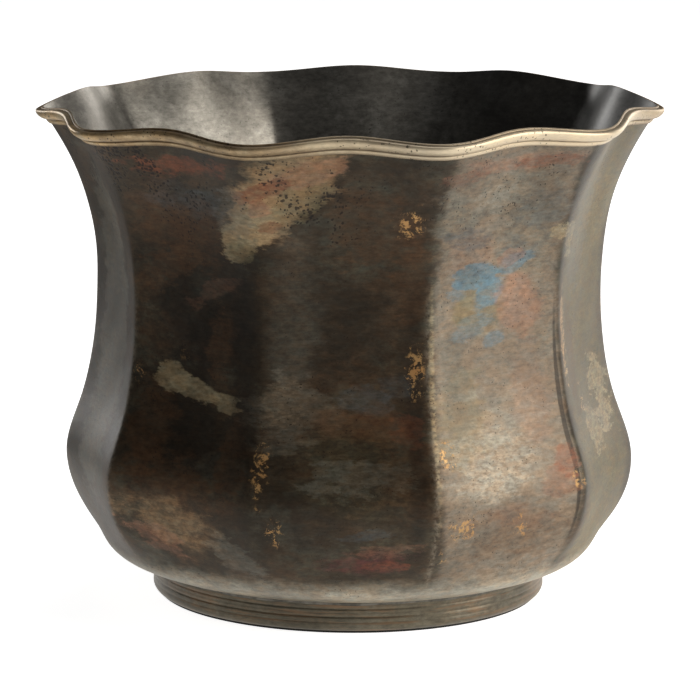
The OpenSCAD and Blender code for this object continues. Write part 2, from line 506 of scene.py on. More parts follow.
def mix_colour(tree, factor, a, b, blend="MIX"):
    """Mix of two colours, returning its output."""
    node = tree.nodes.new("ShaderNodeMix")
    node.data_type = "RGBA"
    node.blend_type = blend
    node.clamp_factor = True
    link_value(tree, factor, node.inputs[0])
    link_value(tree, a, node.inputs[6])
    link_value(tree, b, node.inputs[7])
    return node.outputs[2]


def toned(tree, colour, mask, share, tint):
    """Colour with a share of a tint laid on where a mask is high."""
    return mix_colour(tree, times(tree, mask, share), colour, tint)


def noise(tree, vector, scale, detail=4.0, rough=0.55, distort=0.0, output="Fac"):
    """Noise node's value, or its colour."""
    node = tree.nodes.new("ShaderNodeTexNoise")
    for label, value in (("Vector", vector), ("Scale", scale), ("Detail", detail),
                         ("Roughness", rough), ("Distortion", distort)):
        link_value(tree, value, node.inputs[label])
    return node.outputs[output]


def window(tree, value, low, high, smooth=True):
    """Value stretched so that low becomes 0 and high becomes 1."""
    node = tree.nodes.new("ShaderNodeMapRange")
    node.interpolation_type = "SMOOTHSTEP" if smooth else "LINEAR"
    for label, number in (("Value", value), ("From Min", low), ("From Max", high)):
        link_value(tree, number, node.inputs[label])
    return node.outputs["Result"]


def squeezed(tree, vector, scale, place_at=(0, 0, 0)):
    """Mapping node: moves and stretches the space that a pattern reads."""
    node = tree.nodes.new("ShaderNodeMapping")
    for label, value in (("Vector", vector), ("Location", place_at), ("Scale", scale)):
        link_value(tree, value, node.inputs[label])
    return node.outputs["Vector"]


def bump(tree, height, strength, distance, below=None):
    """Bump node's normal."""
    node = tree.nodes.new("ShaderNodeBump")
    node.inputs["Strength"].default_value = strength
    node.inputs["Distance"].default_value = distance
    link_value(tree, height, node.inputs["Height"])
    if below is not None:
        tree.links.new(below, node.inputs["Normal"])
    return node.outputs["Normal"]


def new_group(name, inputs, outputs):
    """Empty node group with named inputs (kind, name, value) and outputs (kind, name)."""
    tree = bpy.data.node_groups.new(name, "ShaderNodeTree")
    for kind, label, value in inputs:
        socket = tree.interface.new_socket(label, in_out="INPUT", socket_type=kind)
        if value is not None:
            socket.default_value = value
    for kind, label in outputs:
        tree.interface.new_socket(label, in_out="OUTPUT", socket_type=kind)
    return tree, tree.nodes.new("NodeGroupInput").outputs, tree.nodes.new("NodeGroupOutput").inputs


def use_group(tree, group, **values):
    """Places a group in a tree and sets its inputs by name."""
    node = tree.nodes.new("ShaderNodeGroup")
    node.node_tree = group
    for label, value in values.items():
        link_value(tree, value, node.inputs[label])
    return node.outputs


FLOAT = "NodeSocketFloat"
COLOUR = "NodeSocketColor"
VECTOR = "NodeSocketVector"
# Scale of the fine grain that breaks up a patch, and of the specks of bare metal
GRAIN_SCALE = 260.0
SPECK_SCALE = 300.0
# Radius at which the wall is unrolled
UNROLL_R = 125 * MM


def unrolled(tree, position):
    """The wall unrolled to a sheet: metres along it from the -Y side, and metres of height."""
    back = times(tree, part_of(tree, position, "Y"), -1.0)
    angle = math_node(tree, "ARCTAN2", part_of(tree, position, "X"), back)
    along = times(tree, angle, UNROLL_R)
    height = part_of(tree, position, "Z")
    joined = tree.nodes.new("ShaderNodeCombineXYZ")
    tree.links.new(along, joined.inputs["X"])
    tree.links.new(height, joined.inputs["Y"])
    return joined.outputs[0]


def build_patch():
    """Group: one ragged, brushed patch on the sheet. Its mask is the turned and stretched distance
    from a centre, roughened by noise, and broken up by fine grain. Each node is made after the ones
    that feed it, or the wall's many patches need more memory than the renderer gives a shader."""
    tree, given, result = new_group(
        "patina_patch",
        [(VECTOR, "Sheet", None), (VECTOR, "Position", None), (VECTOR, "Centre", None),
         (FLOAT, "Turn", 0.0), (VECTOR, "Size", None), (FLOAT, "Ragged", 0.6),
         (FLOAT, "Soft", 0.5), (FLOAT, "Grain", 0.5)],
        [(FLOAT, "Mask")])
    offset = vector_node(tree, "SUBTRACT", given["Sheet"], given["Centre"])
    turned = tree.nodes.new("ShaderNodeVectorRotate")
    turned.rotation_type = "Z_AXIS"
    tree.links.new(offset, turned.inputs["Vector"])
    tree.links.new(given["Turn"], turned.inputs["Angle"])
    length = vector_node(tree, "LENGTH", vector_node(tree, "DIVIDE", turned.outputs[0], given["Size"]))
    wide = noise(tree, squeezed(tree, given["Position"], (1, 1, 2.6)), 52.0, 9.0, 0.70, 0.1)
    wide = times(tree, math_node(tree, "SUBTRACT", wide, 0.5), given["Ragged"])
    far = plus(tree, length, times(tree, wide, 3.6))
    edge = flip(tree, window(tree, far, flip(tree, given["Soft"]), 1.0))
    fine = noise(tree, squeezed(tree, given["Position"], (1, 1, 2.2)), GRAIN_SCALE, 5.0, 0.65)
    kept = flip(tree, times(tree, flip(tree, window(tree, fine, 0.36, 0.6)), given["Grain"]))
    tree.links.new(times(tree, edge, kept, clamp=True), result["Mask"])
    return tree


def build_tarnish():
    """Group: the ground of the patina. Dark oxide with brown and grey clouds; a shade from slow
    clouds, fine mottling and streaks; a gloss variation; and a height for the bump."""
    tree, given, result = new_group(
        "tarnish",
        [(VECTOR, "Position", None), (COLOUR, "Dark", (0, 0, 0, 1)), (COLOUR, "Brown", (0, 0, 0, 1)),
         (COLOUR, "Grey", (0, 0, 0, 1)), (FLOAT, "Clouds", 1.0)],
        [(COLOUR, "Colour"), (FLOAT, "Shade"), (FLOAT, "Gloss"), (FLOAT, "Height")])
    position = given["Position"]
    slow = noise(tree, position, 13.0, 8.0, 0.62, 0.3)
    browns = noise(tree, squeezed(tree, position, (1, 1, 1.3), (3.1, 0.4, 1.7)), 22.0, 10.0, 0.7, 0.15)
    greys = noise(tree, squeezed(tree, position, (1, 1, 1.5), (7.7, 2.9, 5.3)), 26.0, 10.0, 0.7, 0.2)
    fine = noise(tree, squeezed(tree, position, (1, 1, 1.9)), 240.0, 8.0, 0.75)
    streak = noise(tree, squeezed(tree, position, (1, 1, 14)), 75.0, 5.0, 0.65)
    colour = mix_colour(tree, window(tree, browns, 0.47, 0.60), given["Dark"], given["Brown"])
    colour = mix_colour(tree, window(tree, greys, 0.48, 0.66), colour, given["Grey"])
    tree.links.new(colour, result["Colour"])
    tone = scaled(tree, times(tree, window(tree, slow, 0.3, 0.7), given["Clouds"]), 0.62, 0.66)
    shade = times(tree, tone, scaled(tree, fine, 2.1, -0.05))
    shade = times(tree, shade, scaled(tree, streak, 0.5, 0.75))
    tree.links.new(shade, result["Shade"])
    gloss = plus(tree, times(tree, slow, 0.5), times(tree, fine, 0.5))
    tree.links.new(gloss, result["Gloss"])
    height = plus(tree, times(tree, fine, 0.5), times(tree, streak, 0.3))
    tree.links.new(height, result["Height"])
    return tree


def build_pits():
    """Group: small dark pits, as round cells bent by noise, larger where a slow noise is high."""
    tree, given, result = new_group(
        "pits", [(VECTOR, "Position", None), (FLOAT, "Scale", 420.0), (FLOAT, "Amount", 0.5)],
        [(FLOAT, "Mask")])
    position = given["Position"]
    bent = noise(tree, position, 300.0, 2.0, 0.5, output="Color")
    shifted = vector_node(tree, "MULTIPLY_ADD", bent, (0.003, 0.003, 0.003), position)
    cells = tree.nodes.new("ShaderNodeTexVoronoi")
    tree.links.new(shifted, cells.inputs["Vector"])
    tree.links.new(given["Scale"], cells.inputs["Scale"])
    where = noise(tree, position, 55.0, 4.0, 0.6)
    size = times(tree, window(tree, where, 0.36, 0.64), given["Amount"])
    dots = window(tree, cells.outputs["Distance"], size, times(tree, size, 0.7))
    keep = math_node(tree, "GREATER_THAN", size, 0.03)
    tree.links.new(times(tree, dots, keep), result["Mask"])
    return tree


def build_flecks():
    """Group: bright metal showing through as ragged specks and short threads, where an area allows."""
    tree, given, result = new_group(
        "flecks", [(VECTOR, "Position", None), (FLOAT, "Area", 0.0)], [(FLOAT, "Mask")])
    area = given["Area"]
    specks = noise(tree, given["Position"], SPECK_SCALE, 7.0, 0.72, 0.3)
    moved = squeezed(tree, given["Position"], (1, 1, 0.7), (1.3, 5.1, 2.2))
    threads = noise(tree, moved, 120.0, 5.0, 0.7, 1.6)
    thin = math_node(tree, "ABSOLUTE", math_node(tree, "SUBTRACT", threads, 0.5))
    need = math_node(tree, "SUBTRACT", 0.76, times(tree, area, 0.245))
    spot = window(tree, specks, need, plus(tree, need, 0.05))
    line = times(tree, window(tree, thin, 0.035, 0.012), window(tree, area, 0.35, 0.8))
    line = times(tree, line, window(tree, specks, 0.46, 0.56))
    either = math_node(tree, "MAXIMUM", spot, line)
    tree.links.new(times(tree, either, window(tree, area, 0.02, 0.3), clamp=True), result["Mask"])
    return tree


PATCH = build_patch()
TARNISH = build_tarnish()
PITS = build_pits()
FLECKS = build_flecks()


def new_material(name):
    """New material, with its node tree, its Principled BSDF and its Object coordinates."""
    material = bpy.data.materials.new(name)
    material.use_nodes = True
    tree = material.node_tree
    coordinates = tree.nodes.new("ShaderNodeTexCoord")
    return material, tree, tree.nodes["Principled BSDF"], coordinates.outputs["Object"]


def set_shader(tree, shader, colour, rough, normal, metallic):
    """Links a finish's colour, roughness and normal, and sets how metallic it is."""
    tree.links.new(colour, shader.inputs["Base Color"])
    tree.links.new(rough, shader.inputs["Roughness"])
    tree.links.new(normal, shader.inputs["Normal"])
    shader.inputs["Metallic"].default_value = metallic


# ---------------------------------------------------------------- patches of colour on the wall
# Angle from the -Y side in degrees, height, half width and half height in millimetres, turn in
# degrees, colour, strength, raggedness, softness, grain

TAN = (0.30, 0.205, 0.115)
CREAM = (0.38, 0.31, 0.19)
RUST = (0.17, 0.058, 0.030)
BROWN = (0.085, 0.045, 0.022)
GREY = (0.14, 0.130, 0.105)
SILVER = (0.33, 0.30, 0.245)
BLUE = (0.085, 0.150, 0.195)
SLATE = (0.060, 0.075, 0.085)
PINK = (0.26, 0.135, 0.090)
WINE = (0.10, 0.034, 0.034)
OLIVE = (0.16, 0.130, 0.068)
TAUPE = (0.20, 0.164, 0.127)
COAL = (0.014, 0.011, 0.009)

PATCHES = (
    # Dark areas on the flutes left of the middle, partly smoked patina and partly painted shade on the
    # side away from the light
    (-36, 168, 40, 66, 0, COAL, 0.66, 0.3, 0.6, 0.15),
    (-38, 98, 34, 34, 0, COAL, 0.5, 0.4, 0.6, 0.15),
    (-40, 72, 34, 18, 0, BROWN, 0.7, 0.8, 0.7, 0.3),
    (-46, 100, 16, 26, 0, BROWN, 0.6, 0.7, 0.8, 0.3),
    (-30, 142, 10, 22, 0, BROWN, 0.5, 0.9, 0.9, 0.4),
    (-24, 84, 9, 26, 0, BROWN, 0.6, 0.8, 0.9, 0.4),
    (4, 108, 34, 7, 0, RUST, 0.30, 0.8, 0.6, 0.5),
    (-13, 116, 11, 14, 0, TAN, 0.35, 0.9, 0.7, 0.8),
    (14, 176, 12, 26, 0, BROWN, 0.6, 0.8, 0.9, 0.4),
    (-4, 150, 34, 50, 4, COAL, 0.18, 0.5, 0.9, 0.2),
    (-6, 66, 26, 26, 0, COAL, 0.15, 0.6, 0.9, 0.2),
    # Warm browns
    (-38, 196, 36, 24, -6, BROWN, 0.7, 0.7, 0.6, 0.35),
    (-44, 176, 24, 10, 22, BROWN, 0.6, 0.8, 0.5, 0.4),
    (-32, 166, 20, 5, 24, PINK, 0.20, 0.9, 0.8, 0.5),
    (-38, 54, 34, 14, -12, TAN, 0.45, 0.8, 0.6, 0.45),
    (-44, 46, 20, 8, -16, PINK, 0.4, 0.8, 0.6, 0.5),
    (-24, 44, 18, 9, -20, GREY, 0.55, 0.8, 0.6, 0.4),
    (6, 200, 26, 22, 0, BROWN, 0.6, 0.8, 0.7, 0.4),
    (-2, 118, 40, 24, 0, BROWN, 0.4, 0.8, 0.7, 0.4),
    (14, 88, 22, 24, 14, BROWN, 0.5, 0.8, 0.7, 0.4),
    (-12, 112, 22, 20, 0, GREY, 0.35, 0.9, 0.7, 0.4),
    (0, 84, 18, 12, 0, GREY, 0.3, 1.0, 0.7, 0.5),
    # Lighter wash on the flutes right of the middle, partly patina and partly painted light on the side
    # towards the lamp
    (36.2, 120, 40.5, 290, 0, TAUPE, 0.85, 0.10, 0.16, 0.12),
    (36, 216, 40, 18, 0, GREY, 0.5, 0.8, 0.6, 0.4),
    (44, 190, 20, 22, 0, GREY, 0.55, 0.9, 0.6, 0.4),
    (26, 108, 20, 24, 0, OLIVE, 0.4, 0.8, 0.7, 0.3),
    (72, 140, 40, 260, 0, OLIVE, 0.7, 0.15, 0.3, 0.2),
    (66, 190, 20, 40, 0, GREY, 0.5, 0.8, 0.7, 0.3),
    (62, 130, 9, 30, 0, BROWN, 0.5, 0.8, 0.8, 0.3),
    (38, 52, 40, 16, 0, BROWN, 0.45, 0.7, 0.6, 0.4),
    # The tan sweep that comes down from the rim, and its rust
    (-12, 221, 30, 18, 28, TAN, 0.85, 0.4, 0.4, 0.3),
    (-17, 208, 26, 15, 44, TAN, 0.85, 0.45, 0.4, 0.3),
    (-21, 197, 22, 10, 38, CREAM, 0.55, 0.6, 0.4, 0.35),
    (-10, 213, 16, 11, 40, OLIVE, 0.5, 0.8, 0.5, 0.4),
    (-23, 187, 9, 6, 0, OLIVE, 0.6, 0.8, 0.6, 0.4),
    (-8, 226, 20, 7, 14, PINK, 0.55, 0.7, 0.6, 0.5),
    (-17, 217, 17, 5, 24, RUST, 0.75, 0.8, 0.5, 0.5),
    (-18, 209, 7, 5, 30, PINK, 0.7, 0.8, 0.5, 0.5),
    (-16, 200, 6, 3, 10, RUST, 0.6, 0.9, 0.6, 0.5),
    (-24, 206, 12, 12, 30, GREY, 0.5, 0.8, 0.6, 0.4),
    (-37, 226, 36, 6, 2, RUST, 0.75, 0.9, 0.5, 0.45),
    (-34, 210, 30, 10, 0, SLATE, 0.4, 0.8, 0.6, 0.5),
    (36, 229, 38, 5, 0, PINK, 0.5, 0.9, 0.6, 0.6),
    (46, 228, 20, 3, -3, RUST, 0.5, 1.0, 0.5, 0.6),
    (24, 224, 14, 4, 8, RUST, 0.35, 1.0, 0.6, 0.7),
    # Cream and pale marks
    (-43, 123, 12, 8, -14, CREAM, 0.62, 0.55, 0.5, 0.3),
    (-36, 118, 17, 6, -12, CREAM, 0.6, 0.6, 0.5, 0.35),
    (-28, 114, 11, 5, -10, CREAM, 0.5, 0.6, 0.5, 0.35),
    (33, 88, 28, 21, -4, SILVER, 0.42, 0.45, 0.8, 0.9),
    (32, 78, 24, 11, 0, SILVER, 0.35, 0.6, 0.6, 0.9),
    (38, 108, 22, 14, 20, SILVER, 0.25, 0.9, 0.8, 0.4),
    (27, 118, 15, 4, 4, SILVER, 0.3, 0.9, 0.9, 0.5),
    (28, 186, 17, 13, 0, PINK, 0.22, 0.7, 0.8, 0.3),
    (23, 203, 15, 10, 0, GREY, 0.5, 0.8, 0.8, 0.4),
    (34, 212, 18, 7, 0, SILVER, 0.25, 0.9, 0.7, 0.6),
    (46, 204, 17, 14, 0, SLATE, 0.3, 0.8, 0.8, 0.5),
    (45, 118, 13, 30, 0, PINK, 0.22, 0.6, 0.8, 0.3),
    (24, 128, 9, 26, 0, GREY, 0.45, 0.6, 0.9, 0.4),
    (46, 140, 12, 16, 0, GREY, 0.35, 0.8, 0.9, 0.4),
    (36, 60, 34, 9, 0, PINK, 0.2, 0.8, 0.8, 0.4),
    (80, 104, 14, 18, 0, CREAM, 0.6, 1.2, 0.4, 0.6),
    (70, 92, 10, 12, 0, CREAM, 0.4, 1.2, 0.4, 0.6),
    (58, 186, 7, 9, 0, CREAM, 0.4, 1.0, 0.5, 0.6),
    (52, 193, 7, 4, 0, CREAM, 0.5, 1.0, 0.5, 0.6),
    # Bright edge on the ridge right of the middle, partly rubbed metal and partly a painted highlight,
    # and painted shadow on the edges of two others
    (18.5, 120, 2.2, 74, 0, CREAM, 0.45, 0.5, 1.4, 0.95),
    (14.6, 100, 6.0, 90, 0, COAL, 0.55, 0.3, 1.6, 0.2),
    (52.6, 100, 1.6, 66, 0, COAL, 0.75, 0.2, 0.8, 0.1),
    (-23, 130, 11, 80, 0, COAL, 0.5, 0.3, 1.6, 0.1),
    (56.5, 142, 3.0, 26, 0, TAN, 0.8, 0.5, 0.8, 0.5),
    (51, 84, 7, 9, 0, RUST, 0.55, 0.8, 0.7, 0.4),
    # Heat blues and pinks
    (31, 160, 19, 16, 0, OLIVE, 0.5, 0.6, 0.7, 0.3),
    (30, 174, 17, 7, 8, BLUE, 0.85, 0.5, 0.5, 0.3),
    (41, 179, 13, 4.5, 18, BLUE, 0.6, 0.6, 0.6, 0.4),
    (34, 165, 13, 7, 40, BLUE, 0.75, 0.5, 0.6, 0.4),
    (25, 166, 8, 4, 0, BLUE, 0.5, 0.7, 0.6, 0.5),
    (30, 151, 16, 6, 20, BLUE, 0.5, 0.7, 0.6, 0.5),
    (36, 144, 9, 4, 10, BLUE, 0.5, 0.7, 0.6, 0.5),
    (27, 159, 10, 9, 0, OLIVE, 0.4, 0.8, 0.6, 0.5),
    (27, 193, 16, 5, 0, SLATE, 0.5, 0.9, 0.6, 0.6),
    (42, 186, 14, 8, 0, SLATE, 0.35, 0.9, 0.6, 0.6),
    (43, 158, 15, 18, 40, PINK, 0.5, 0.5, 0.6, 0.3),
    (40, 182, 9, 4, 20, PINK, 0.4, 0.9, 0.6, 0.5),
    (48, 74, 11, 8, 0, RUST, 0.35, 0.9, 0.6, 0.5),
    (4, 118, 15, 7, 0, SLATE, 0.45, 0.8, 0.8, 0.5),
    (11, 125, 9, 6, 0, SLATE, 0.3, 0.9, 0.8, 0.5),
    (4, 42, 30, 8, 4, WINE, 0.7, 0.8, 0.7, 0.6),
    (8, 48, 22, 4, 8, PINK, 0.3, 0.9, 0.7, 0.8),
    (9, 41, 16, 3, 0, RUST, 0.5, 0.9, 0.7, 0.8),
    (4, 56, 14, 3, 10, SLATE, 0.45, 0.9, 0.7, 0.7),
    (-12, 150, 16, 80, 0, GREY, 0.30, 0.5, 1.5, 0.3),
    (0, 88, 38, 44, 0, OLIVE, 0.26, 0.5, 1.0, 0.6),
    (2, 106, 30, 8, 0, BROWN, 0.5, 0.8, 0.6, 0.4),
    (2, 84, 24, 10, 0, GREY, 0.35, 1.0, 0.7, 0.5),
    (14, 104, 9, 10, 0, RUST, 0.25, 1.0, 0.6, 0.5),
    # Pale band all round where the belly turns under, partly wear and partly a painted reflection of the
    # lit floor
    (0, 20, 430, 15, 0, SILVER, 1.0, 0.2, 0.8, 0.2),
    # Colours on the flutes at the back, seen when the pot is turned
    (112, 200, 34, 14, 36, TAN, 0.75, 0.6, 0.5, 0.4),
    (126, 130, 34, 60, 0, COAL, 0.55, 0.5, 0.7, 0.2),
    (140, 96, 20, 8, 10, CREAM, 0.5, 0.9, 0.5, 0.5),
    (150, 170, 16, 6, -14, BLUE, 0.6, 0.8, 0.6, 0.6),
    (168, 206, 34, 18, 8, BROWN, 0.6, 0.8, 0.6, 0.4),
    (-166, 150, 34, 40, 0, TAUPE, 0.6, 0.5, 0.6, 0.3),
    (-158, 84, 26, 14, 0, PINK, 0.4, 0.9, 0.6, 0.5),
    (-140, 200, 34, 12, -34, TAN, 0.7, 0.6, 0.5, 0.4),
    (-126, 120, 24, 44, 0, GREY, 0.5, 0.8, 0.7, 0.3),
    (-98, 150, 24, 80, 0, GREY, 0.5, 0.6, 0.7, 0.25),
    (-72, 140, 26, 100, 0, GREY, 0.6, 0.4, 0.6, 0.2),
    (-112, 64, 26, 9, 6, WINE, 0.5, 0.9, 0.5, 0.5),
    (180, 60, 34, 16, 0, COAL, 0.5, 0.7, 0.6, 0.3),
)

# Places where bright metal breaks through: angle, height, half width, half height, strength
FLECK_AREAS = (
    (-17, 86, 6, 30, 1.0),
    (0, 72, 30, 24, 0.42),
    (34, 50, 26, 18, 0.36),
    (-14, 58, 8, 14, 0.8),
    (13, 203, 11, 13, 1.1),
    (15, 132, 8, 22, 1.0),
    (21, 92, 7, 14, 1.0),
    (25, 58, 14, 12, 1.15),
    (20, 44, 9, 12, 0.8),
    (39, 56, 9, 12, 0.9),
    (57, 134, 8, 30, 1.0),
    (53, 74, 8, 14, 0.9),
    (-52, 122, 6, 16, 0.7),
    (-40, 132, 8, 8, 0.5),
    (66, 110, 8, 24, 0.7),
    (90, 150, 6, 40, 0.7),
    (126, 120, 7, 40, 0.9),
    (162, 100, 7, 34, 0.9),
    (-162, 170, 7, 26, 0.8),
    (-126, 90, 7, 26, 0.9),
    (-90, 110, 6, 30, 0.6),
)


# Patches wider than this keep their softness, and smaller ones have crisper edges
BROAD = 29
CRISP = 0.5
# How far the edge of a patch of flecks fades
FLECK_SOFT = 0.9

# Tints of rubbed metal with a painted highlight, bare brass, pits, grime and darker lines, bloom, painted
# shade inside and a painted highlight on the rim, as linear red, green and blue
BARE_EDGE_AND_HIGHLIGHT = (0.34, 0.29, 0.22)
GOLD_LOW = (0.46, 0.20, 0.055)
GOLD_HIGH = (0.47, 0.33, 0.15)
WARM_CAST = (1.08, 0.985, 0.89)
COOL_CAST = (0.95, 1.0, 1.02)
WALL_PIT = (0.012, 0.009, 0.008)
INSIDE_BLOOM = (0.36, 0.35, 0.32)
INSIDE_PAINTED_SHADE = (0.035, 0.033, 0.030)
INSIDE_PIT = (0.05, 0.045, 0.04)
RIM_RUBBED = (0.50, 0.40, 0.25)
RIM_PAINTED_HIGHLIGHT = (0.78, 0.68, 0.52)
RIM_DARK_LINE = (0.070, 0.038, 0.018)
RIM_PIT = (0.03, 0.022, 0.015)
FOOT_STREAK = (0.20, 0.115, 0.060)
PAD_DARK = (0.006, 0.006, 0.006)
PAD_LIGHT = (0.022, 0.021, 0.02)


def on_sheet(angle, height):
    """Centre of a patch on the unrolled sheet, in metres."""
    return (math.radians(angle) * UNROLL_R, height * MM, 0)


def patch_mask(tree, sheet, position, spot, strength, **more):
    """One patch's mask times its strength, from its angle, height, half width and half height."""
    angle, height, wide, tall = spot
    mask = use_group(tree, PATCH, Sheet=sheet, Position=position, Centre=on_sheet(angle, height),
                     Size=(wide * MM, tall * MM, 1), **more)["Mask"]
    return times(tree, mask, strength)


def patina(tree, position, sheet, ground):
    """Colour of the wall: the tarnish with every patch laid on it in turn, shaded and cast in hue."""
    colour = ground["Colour"]
    for *spot, turn, tint, strength, ragged, soft, grain in PATCHES:
        softness = soft if spot[2] > BROAD else CRISP * soft
        mask = patch_mask(tree, sheet, position, spot, strength, Turn=-math.radians(turn),
                          Ragged=ragged, Soft=softness, Grain=grain)
        colour = mix_colour(tree, mask, colour, tint)
    colour = mix_colour(tree, 1.0, colour, ground["Shade"], "MULTIPLY")
    hue = noise(tree, squeezed(tree, position, (1, 1, 2.2), (2.2, 6.1, 0.9)), 110.0, 7.0, 0.7)
    hue = mix_colour(tree, window(tree, hue, 0.40, 0.60), WARM_CAST, COOL_CAST)
    return mix_colour(tree, 1.0, colour, hue, "MULTIPLY")


def fleck_area(tree, position, sheet):
    """Where bright metal may break through: the named places, and stray ones from a slow noise."""
    stray = window(tree, noise(tree, position, 9.0, 3.0, 0.5), 0.5, 0.75)
    area = times(tree, stray, 0.4)
    for *spot, strength in FLECK_AREAS:
        mask = patch_mask(tree, sheet, position, spot, strength, Soft=FLECK_SOFT, Grain=0.0)
        area = math_node(tree, "MAXIMUM", area, mask)
    return area


def wall_material():
    """Outside of the wall: tarnish, patches of colour, some of them painted light and shade on the
    flutes, ridges rubbed bright partly as a painted highlight, flecks of bare brass and pits.
    """
    material, tree, shader, position = new_material("aged_brass_wall")
    sheet = unrolled(tree, position)
    ground = use_group(tree, TARNISH, Position=position, Dark=(0.038, 0.028, 0.018),
                       Brown=(0.064, 0.042, 0.025), Grey=(0.068, 0.062, 0.045))
    colour = patina(tree, position, sheet, ground)
    # Rubbed ridge lines, partly wear and partly a painted highlight
    worn_and_highlit = window(tree, noise(tree, position, 330.0, 7.0, 0.7), 0.40, 0.60)
    colour = toned(tree, colour, times(tree, worn_and_highlit, stored(tree, "ridge")), 0.5, BARE_EDGE_AND_HIGHLIGHT)
    bright = use_group(tree, FLECKS, Position=position, Area=fleck_area(tree, position, sheet))["Mask"]
    gold = mix_colour(tree, noise(tree, position, 90.0, 2.0), GOLD_LOW, GOLD_HIGH)
    colour = toned(tree, colour, bright, 0.85, gold)
    high = window(tree, part_of(tree, position, "Z"), 170 * MM, 235 * MM)
    left = window(tree, part_of(tree, position, "X"), 20 * MM, -10 * MM)
    amount = plus(tree, times(tree, high, scaled(tree, left, 0.32, 0.1)), 0.20)
    pits = use_group(tree, PITS, Position=position, Scale=520.0, Amount=amount)["Mask"]
    colour = toned(tree, colour, pits, 0.8, WALL_PIT)
    rough = scaled(tree, window(tree, ground["Gloss"], 0.3, 0.7, False), 0.20, 0.36)
    rough = math_node(tree, "SUBTRACT", rough, times(tree, bright, 0.08))
    height = math_node(tree, "SUBTRACT", ground["Height"], times(tree, pits, 0.5))
    height = plus(tree, height, times(tree, bright, 0.25))
    set_shader(tree, shader, colour, rough, bump(tree, height, 0.35, 0.4 * MM), 0.5)
    shader.inputs["Specular IOR Level"].default_value = 0.35
    return material


def inside_material():
    """Inside of the wall: grey tarnished metal with soft pale mottling, darker on its right side by
    painted shade.
    """
    material, tree, shader, position = new_material("tarnished_inside")
    ground = use_group(tree, TARNISH, Position=position, Dark=(0.195, 0.186, 0.166),
                       Brown=(0.235, 0.220, 0.194), Grey=(0.295, 0.285, 0.258), Clouds=0.6)
    bloom = noise(tree, position, 60.0, 8.0, 0.72, 0.1)
    colour = mix_colour(tree, 1.0, ground["Colour"], ground["Shade"], "MULTIPLY")
    colour = toned(tree, colour, window(tree, bloom, 0.52, 0.7), 0.55, INSIDE_BLOOM)
    # Painted shade on the right side of the inside
    side = window(tree, part_of(tree, position, "X"), 30 * MM, 80 * MM)
    colour = toned(tree, colour, side, 0.6, INSIDE_PAINTED_SHADE)
    pits = use_group(tree, PITS, Position=position, Scale=360.0, Amount=0.22)["Mask"]
    colour = toned(tree, colour, pits, 0.5, INSIDE_PIT)
    rough = scaled(tree, ground["Gloss"], 0.2, 0.26)
    set_shader(tree, shader, colour, rough, bump(tree, ground["Height"], 0.25, 0.3 * MM), 0.75)
    return material


def rim_material():
    """Rim: patina rubbed back to dull brass, with a painted highlight towards the front right, darker in
    the groove, and with grime along the edge of the sheet."""
    material, tree, shader, position = new_material("rubbed_brass_rim")
    ground = use_group(tree, TARNISH, Position=position, Dark=(0.34, 0.235, 0.125),
                       Brown=(0.52, 0.36, 0.18), Grey=(0.50, 0.405, 0.26), Clouds=0.7)
    rub = noise(tree, squeezed(tree, position, (1, 1, 3)), 45.0, 5.0, 0.6, 0.3)
    colour = mix_colour(tree, 1.0, ground["Colour"], ground["Shade"], "MULTIPLY")
    colour = toned(tree, colour, window(tree, rub, 0.48, 0.66), 0.5, RIM_RUBBED)
    # Painted highlight towards the front right of the rim
    front = window(tree, part_of(tree, position, "Y"), 0.0, -60 * MM)
    right = window(tree, part_of(tree, position, "X"), -70 * MM, 70 * MM)
    colour = toned(tree, colour, times(tree, right, front), 0.58, RIM_PAINTED_HIGHLIGHT)
    # Darker in the groove and along the edges of the band, and grime on the edge of the sheet
    dark_lines = scaled(tree, noise(tree, position, 150.0, 5.0, 0.65), 0.7, 0.45)
    dark_lines = times(tree, stored(tree, "groove"), dark_lines, clamp=True)
    colour = toned(tree, colour, dark_lines, 0.85, RIM_DARK_LINE)
    pits = use_group(tree, PITS, Position=position, Scale=520.0, Amount=0.34)["Mask"]
    colour = toned(tree, colour, pits, 0.8, RIM_PIT)
    rough = plus(tree, scaled(tree, ground["Gloss"], 0.22, 0.30), times(tree, dark_lines, 0.2))
    set_shader(tree, shader, colour, rough, bump(tree, ground["Height"], 0.3, 0.3 * MM), 0.6)
    return material


def foot_material():
    """Foot ring: dark olive tarnish with brown streaks running round it along the turned lines."""
    material, tree, shader, position = new_material("tarnished_foot")
    ground = use_group(tree, TARNISH, Position=position, Dark=(0.105, 0.090, 0.062),
                       Brown=(0.150, 0.108, 0.066), Grey=(0.150, 0.134, 0.100), Clouds=0.8)
    streaks = noise(tree, squeezed(tree, position, (1, 1, 16)), 38.0, 5.0, 0.6)
    colour = mix_colour(tree, 1.0, ground["Colour"], ground["Shade"], "MULTIPLY")
    colour = toned(tree, colour, window(tree, streaks, 0.5, 0.66), 0.6, FOOT_STREAK)
    rough = scaled(tree, ground["Gloss"], 0.22, 0.28)
    lathe = noise(tree, squeezed(tree, position, (0.05, 0.05, 60)), 60.0, 3.0, 0.5)
    fine = bump(tree, lathe, 0.15, 0.2 * MM)
    set_shader(tree, shader, colour, rough, bump(tree, ground["Height"], 0.3, 0.3 * MM, fine), 0.5)
    return material


def plain_metal(name, dark, light, metallic, scale):
    """Small hidden parts: two tones of the same metal mixed by noise."""
    material, tree, shader, position = new_material(name)
    mottle = noise(tree, position, scale, 5.0, 0.6)
    colour = mix_colour(tree, window(tree, mottle, 0.35, 0.65), dark, light)
    rough = scaled(tree, mottle, 0.3, 0.25)
    set_shader(tree, shader, colour, rough, bump(tree, mottle, 0.3, 0.3 * MM), metallic)
    return material


